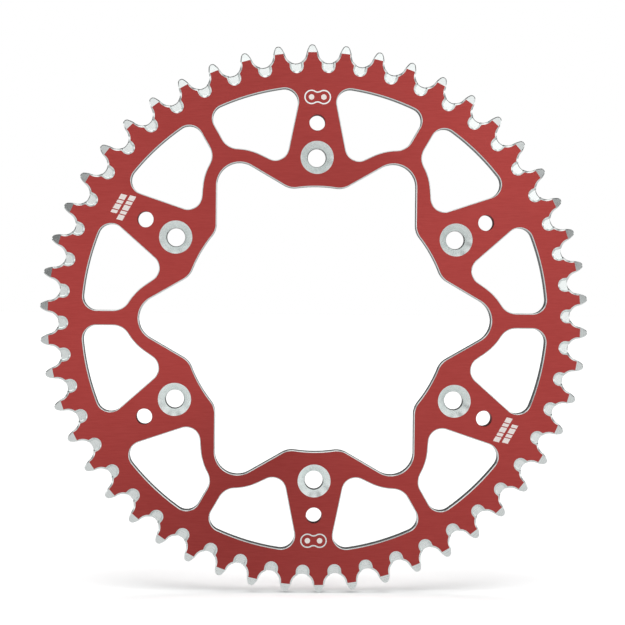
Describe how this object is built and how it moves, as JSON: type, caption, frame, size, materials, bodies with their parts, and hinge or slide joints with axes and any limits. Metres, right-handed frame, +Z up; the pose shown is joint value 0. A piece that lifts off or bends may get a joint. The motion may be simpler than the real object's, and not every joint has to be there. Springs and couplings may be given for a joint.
{
  "type": "motorcycle rear sprocket",
  "caption": "Flat one-piece toothed ring for a roller chain, with slim spokes, windows, mud pockets and countersunk bolt tabs round an open centre.",
  "frame": {"origin": "on the axle line, midway through the plate's thickness", "axes": "+Y along the axle from the outer face towards the hub, +Z up, +X to the right when the outer face is looked at"},
  "size_m": [0.2598, 0.006, 0.26],
  "materials": {
    "red_anodised": "red anodised, fine turned grain, with bare machined aluminium on the teeth, pockets, countersinks and edges"
  },
  "bodies": {
    "root": {"sprocket": "red_anodised"}
  },
  "joints": []
}
